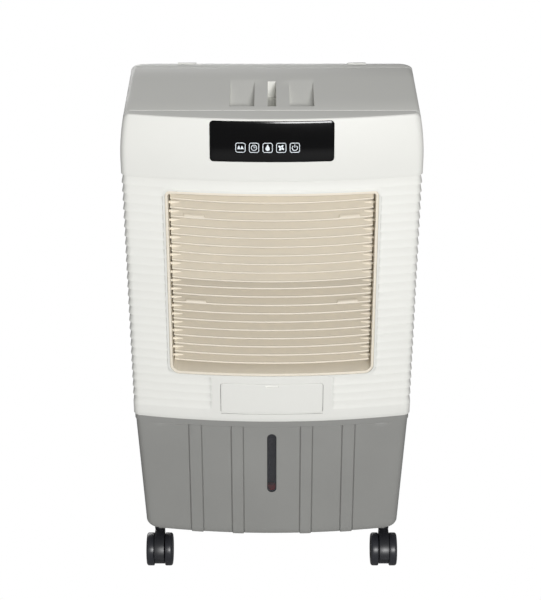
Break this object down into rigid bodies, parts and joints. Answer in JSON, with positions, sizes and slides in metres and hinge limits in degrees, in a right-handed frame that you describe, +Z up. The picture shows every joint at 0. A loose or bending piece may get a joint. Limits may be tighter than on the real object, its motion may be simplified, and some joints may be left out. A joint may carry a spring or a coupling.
{
  "type": "evaporative cooler",
  "caption": "Portable evaporative cooler: ribbed bowed cabinet with tilting louvres, touch panel, fan and wet pad, on a grey water tank with twin-wheel casters.",
  "frame": {"origin": "on the floor, under the middle of the cooler's box", "axes": "+Z up; the bowed front with the louvres faces -Y; +X to the right seen from the front"},
  "size_m": [0.43, 0.292, 0.79],
  "materials": {
    "white_shell": "fine moulded texture, satin",
    "beige_outlet": "smooth satin",
    "grey_tank": "fine moulded texture, satin",
    "black_gloss": "polished",
    "dark_plastic": "satin",
    "caster_tread": "satin",
    "window_clear": "polished, smoked",
    "float_red": "satin",
    "pad_paper": "corrugated wet-pad paper",
    "inner_plastic": "satin",
    "board_green": "satin",
    "hose_rubber": "satin",
    "motor_steel": "zinc plated"
  },
  "bodies": {
    "cabinet": {"front_panel": "white_shell", "main_housing": "white_shell", "top_cover": "white_shell", "louvre_frame": "beige_outlet", "display_panel": "black_gloss", "control_board": "board_green", "fill_chute": "inner_plastic", "water_tank": "grey_tank", "level_window": "window_clear", "pump": "dark_plastic", "pump_hose": "hose_rubber", "water_distributor": "inner_plastic", "fan_shroud": "dark_plastic", "fan_motor": "motor_steel", "swing_motor": "motor_steel", "cord_gland": "dark_plastic", "housing_screws": "motor_steel"},
    "fill_door": {"fill_door": "white_shell"},
    "level_float": {"level_float": "float_red"},
    "drain_plug": {"drain_plug": "dark_plastic"},
    "rear_panel": {"rear_grille": "white_shell", "cooling_pad": "pad_paper"},
    "fan_blade": {"fan_blade": "inner_plastic"},
    "upper_tie_bars": {"upper_tie_bars": "beige_outlet"},
    "lower_tie_bars": {"lower_tie_bars": "beige_outlet"},
    "vane_tie_bar": {"vane_tie_bar": "beige_outlet"},
    "louvre_01": {"louvre_01": "beige_outlet"},
    "louvre_02": {"louvre_02": "beige_outlet"},
    "louvre_03": {"louvre_03": "beige_outlet"},
    "louvre_04": {"louvre_04": "beige_outlet"},
    "louvre_05": {"louvre_05": "beige_outlet"},
    "louvre_06": {"louvre_06": "beige_outlet"},
    "louvre_07": {"louvre_07": "beige_outlet"},
    "louvre_08": {"louvre_08": "beige_outlet"},
    "louvre_09": {"louvre_09": "beige_outlet"},
    "louvre_10": {"louvre_10": "beige_outlet"},
    "louvre_11": {"louvre_11": "beige_outlet"},
    "louvre_12": {"louvre_12": "beige_outlet"},
    "louvre_13": {"louvre_13": "beige_outlet"},
    "louvre_14": {"louvre_14": "beige_outlet"},
    "louvre_15": {"louvre_15": "beige_outlet"},
    "louvre_16": {"louvre_16": "beige_outlet"},
    "louvre_17": {"louvre_17": "beige_outlet"},
    "louvre_18": {"louvre_18": "beige_outlet"},
    "louvre_19": {"louvre_19": "beige_outlet"},
    "louvre_20": {"louvre_20": "beige_outlet"},
    "vane_1": {"vane_1": "beige_outlet"},
    "vane_2": {"vane_2": "beige_outlet"},
    "vane_3": {"vane_3": "beige_outlet"},
    "vane_4": {"vane_4": "beige_outlet"},
    "vane_5": {"vane_5": "beige_outlet"},
    "caster_fork_front_left": {"caster_fork_front_left": "dark_plastic"},
    "caster_wheels_front_left": {"caster_wheels_front_left": "caster_tread"},
    "caster_fork_front_right": {"caster_fork_front_right": "dark_plastic"},
    "caster_wheels_front_right": {"caster_wheels_front_right": "caster_tread"},
    "caster_fork_rear_left": {"caster_fork_rear_left": "dark_plastic"},
    "caster_wheels_rear_left": {"caster_wheels_rear_left": "caster_tread"},
    "caster_fork_rear_right": {"caster_fork_rear_right": "dark_plastic"},
    "caster_wheels_rear_right": {"caster_wheels_rear_right": "caster_tread"}
  },
  "joints": [
    {"name": "louvre_01_tilt", "type": "hinge", "parent": "cabinet", "child": "louvre_01", "pos_m": [0, -0.111, 0.665], "axis": [1, 0, 0], "range_deg": [-33, 5]},
    {"name": "louvre_02_tilt", "type": "hinge", "parent": "cabinet", "child": "louvre_02", "pos_m": [0, -0.111, 0.65077], "axis": [1, 0, 0], "range_deg": [-33, 5]},
    {"name": "louvre_03_tilt", "type": "hinge", "parent": "cabinet", "child": "louvre_03", "pos_m": [0, -0.111, 0.63654], "axis": [1, 0, 0], "range_deg": [-33, 5]},
    {"name": "louvre_04_tilt", "type": "hinge", "parent": "cabinet", "child": "louvre_04", "pos_m": [0, -0.111, 0.62231], "axis": [1, 0, 0], "range_deg": [-33, 5]},
    {"name": "louvre_05_tilt", "type": "hinge", "parent": "cabinet", "child": "louvre_05", "pos_m": [0, -0.111, 0.60808], "axis": [1, 0, 0], "range_deg": [-33, 5]},
    {"name": "louvre_06_tilt", "type": "hinge", "parent": "cabinet", "child": "louvre_06", "pos_m": [0, -0.111, 0.59385], "axis": [1, 0, 0], "range_deg": [-33, 5]},
    {"name": "louvre_07_tilt", "type": "hinge", "parent": "cabinet", "child": "louvre_07", "pos_m": [0, -0.111, 0.57962], "axis": [1, 0, 0], "range_deg": [-33, 5]},
    {"name": "louvre_08_tilt", "type": "hinge", "parent": "cabinet", "child": "louvre_08", "pos_m": [0, -0.111, 0.56539], "axis": [1, 0, 0], "range_deg": [-33, 5]},
    {"name": "louvre_09_tilt", "type": "hinge", "parent": "cabinet", "child": "louvre_09", "pos_m": [0, -0.111, 0.55116], "axis": [1, 0, 0], "range_deg": [-33, 5]},
    {"name": "louvre_10_tilt", "type": "hinge", "parent": "cabinet", "child": "louvre_10", "pos_m": [0, -0.111, 0.53693], "axis": [1, 0, 0], "range_deg": [-33, 5]},
    {"name": "louvre_11_tilt", "type": "hinge", "parent": "cabinet", "child": "louvre_11", "pos_m": [0, -0.111, 0.5227], "axis": [1, 0, 0], "range_deg": [-17, 18]},
    {"name": "louvre_12_tilt", "type": "hinge", "parent": "cabinet", "child": "louvre_12", "pos_m": [0, -0.111, 0.50847], "axis": [1, 0, 0], "range_deg": [-17, 18]},
    {"name": "louvre_13_tilt", "type": "hinge", "parent": "cabinet", "child": "louvre_13", "pos_m": [0, -0.111, 0.49424], "axis": [1, 0, 0], "range_deg": [-17, 18]},
    {"name": "louvre_14_tilt", "type": "hinge", "parent": "cabinet", "child": "louvre_14", "pos_m": [0, -0.111, 0.48001], "axis": [1, 0, 0], "range_deg": [-17, 18]},
    {"name": "louvre_15_tilt", "type": "hinge", "parent": "cabinet", "child": "louvre_15", "pos_m": [0, -0.111, 0.46578], "axis": [1, 0, 0], "range_deg": [-17, 18]},
    {"name": "louvre_16_tilt", "type": "hinge", "parent": "cabinet", "child": "louvre_16", "pos_m": [0, -0.111, 0.45155], "axis": [1, 0, 0], "range_deg": [-17, 18]},
    {"name": "louvre_17_tilt", "type": "hinge", "parent": "cabinet", "child": "louvre_17", "pos_m": [0, -0.111, 0.43732], "axis": [1, 0, 0], "range_deg": [-17, 18]},
    {"name": "louvre_18_tilt", "type": "hinge", "parent": "cabinet", "child": "louvre_18", "pos_m": [0, -0.111, 0.42309], "axis": [1, 0, 0], "range_deg": [-17, 18]},
    {"name": "louvre_19_tilt", "type": "hinge", "parent": "cabinet", "child": "louvre_19", "pos_m": [0, -0.111, 0.40886], "axis": [1, 0, 0], "range_deg": [-17, 18]},
    {"name": "louvre_20_tilt", "type": "hinge", "parent": "cabinet", "child": "louvre_20", "pos_m": [0, -0.111, 0.39463], "axis": [1, 0, 0], "range_deg": [-17, 18]},
    {"name": "upper_tie_bars_link", "type": "hinge", "parent": "louvre_01", "child": "upper_tie_bars", "pos_m": [0, -0.09443, 0.67203], "axis": [1, 0, 0], "range_deg": [-5, 33]},
    {"name": "lower_tie_bars_link", "type": "hinge", "parent": "louvre_11", "child": "lower_tie_bars", "pos_m": [0, -0.09339, 0.52644], "axis": [1, 0, 0], "range_deg": [-18, 17]},
    {"name": "vane_1_swing", "type": "hinge", "parent": "cabinet", "child": "vane_1", "pos_m": [-0.112, -0.072, 0.5285], "axis": [0, 0, 1], "range_deg": [-30, 30]},
    {"name": "vane_2_swing", "type": "hinge", "parent": "cabinet", "child": "vane_2", "pos_m": [-0.056, -0.072, 0.5285], "axis": [0, 0, 1], "range_deg": [-30, 30]},
    {"name": "vane_3_swing", "type": "hinge", "parent": "cabinet", "child": "vane_3", "pos_m": [0, -0.072, 0.5285], "axis": [0, 0, 1], "range_deg": [-30, 30]},
    {"name": "vane_4_swing", "type": "hinge", "parent": "cabinet", "child": "vane_4", "pos_m": [0.056, -0.072, 0.5285], "axis": [0, 0, 1], "range_deg": [-30, 30]},
    {"name": "vane_5_swing", "type": "hinge", "parent": "cabinet", "child": "vane_5", "pos_m": [0.112, -0.072, 0.5285], "axis": [0, 0, 1], "range_deg": [-30, 30]},
    {"name": "vane_tie_bar_link", "type": "hinge", "parent": "vane_3", "child": "vane_tie_bar", "pos_m": [0, -0.062, 0.4], "axis": [0, 0, 1], "range_deg": [-30, 30]},
    {"name": "fan_spin", "type": "hinge", "parent": "cabinet", "child": "fan_blade", "pos_m": [0, -0.031, 0.5285], "axis": [0, -1, 0], "continuous": true},
    {"name": "fill_door_hinge", "type": "hinge", "parent": "cabinet", "child": "fill_door", "pos_m": [0, -0.142, 0.311], "axis": [1, 0, 0], "range_deg": [0, 45]},
    {"name": "rear_panel_pull", "type": "slide", "parent": "cabinet", "child": "rear_panel", "axis": [0, 1, 0], "range_m": [0, 0.15]},
    {"name": "level_float_rise", "type": "slide", "parent": "cabinet", "child": "level_float", "axis": [0, 0, 1], "range_m": [0, 0.094]},
    {"name": "drain_plug_pull", "type": "slide", "parent": "cabinet", "child": "drain_plug", "axis": [0, 1, 0], "range_m": [0, 0.025]},
    {"name": "caster_swivel_front_left", "type": "hinge", "parent": "cabinet", "child": "caster_fork_front_left", "pos_m": [-0.18, -0.09, 0.09], "axis": [0, 0, 1], "continuous": true},
    {"name": "caster_roll_front_left", "type": "hinge", "parent": "caster_fork_front_left", "child": "caster_wheels_front_left", "pos_m": [-0.18, -0.108, 0.0265], "axis": [1, 0, 0], "continuous": true},
    {"name": "caster_swivel_front_right", "type": "hinge", "parent": "cabinet", "child": "caster_fork_front_right", "pos_m": [0.18, -0.09, 0.09], "axis": [0, 0, 1], "continuous": true},
    {"name": "caster_roll_front_right", "type": "hinge", "parent": "caster_fork_front_right", "child": "caster_wheels_front_right", "pos_m": [0.18, -0.108, 0.0265], "axis": [1, 0, 0], "continuous": true},
    {"name": "caster_swivel_rear_left", "type": "hinge", "parent": "cabinet", "child": "caster_fork_rear_left", "pos_m": [-0.18, 0.095, 0.09], "axis": [0, 0, 1], "continuous": true},
    {"name": "caster_roll_rear_left", "type": "hinge", "parent": "caster_fork_rear_left", "child": "caster_wheels_rear_left", "pos_m": [-0.18, 0.077, 0.0265], "axis": [1, 0, 0], "continuous": true},
    {"name": "caster_swivel_rear_right", "type": "hinge", "parent": "cabinet", "child": "caster_fork_rear_right", "pos_m": [0.18, 0.095, 0.09], "axis": [0, 0, 1], "continuous": true},
    {"name": "caster_roll_rear_right", "type": "hinge", "parent": "caster_fork_rear_right", "child": "caster_wheels_rear_right", "pos_m": [0.18, 0.077, 0.0265], "axis": [1, 0, 0], "continuous": true}
  ],
  "couplings": [
    {"joint": "louvre_02_tilt", "follows": "louvre_01_tilt", "ratio": 1},
    {"joint": "louvre_03_tilt", "follows": "louvre_01_tilt", "ratio": 1},
    {"joint": "louvre_04_tilt", "follows": "louvre_01_tilt", "ratio": 1},
    {"joint": "louvre_05_tilt", "follows": "louvre_01_tilt", "ratio": 1},
    {"joint": "louvre_06_tilt", "follows": "louvre_01_tilt", "ratio": 1},
    {"joint": "louvre_07_tilt", "follows": "louvre_01_tilt", "ratio": 1},
    {"joint": "louvre_08_tilt", "follows": "louvre_01_tilt", "ratio": 1},
    {"joint": "louvre_09_tilt", "follows": "louvre_01_tilt", "ratio": 1},
    {"joint": "louvre_10_tilt", "follows": "louvre_01_tilt", "ratio": 1},
    {"joint": "louvre_12_tilt", "follows": "louvre_11_tilt", "ratio": 1},
    {"joint": "louvre_13_tilt", "follows": "louvre_11_tilt", "ratio": 1},
    {"joint": "louvre_14_tilt", "follows": "louvre_11_tilt", "ratio": 1},
    {"joint": "louvre_15_tilt", "follows": "louvre_11_tilt", "ratio": 1},
    {"joint": "louvre_16_tilt", "follows": "louvre_11_tilt", "ratio": 1},
    {"joint": "louvre_17_tilt", "follows": "louvre_11_tilt", "ratio": 1},
    {"joint": "louvre_18_tilt", "follows": "louvre_11_tilt", "ratio": 1},
    {"joint": "louvre_19_tilt", "follows": "louvre_11_tilt", "ratio": 1},
    {"joint": "louvre_20_tilt", "follows": "louvre_11_tilt", "ratio": 1},
    {"joint": "upper_tie_bars_link", "follows": "louvre_01_tilt", "ratio": -1},
    {"joint": "lower_tie_bars_link", "follows": "louvre_11_tilt", "ratio": -1},
    {"joint": "vane_1_swing", "follows": "vane_3_swing", "ratio": 1},
    {"joint": "vane_2_swing", "follows": "vane_3_swing", "ratio": 1},
    {"joint": "vane_4_swing", "follows": "vane_3_swing", "ratio": 1},
    {"joint": "vane_5_swing", "follows": "vane_3_swing", "ratio": 1},
    {"joint": "vane_tie_bar_link", "follows": "vane_3_swing", "ratio": -1}
  ]
}
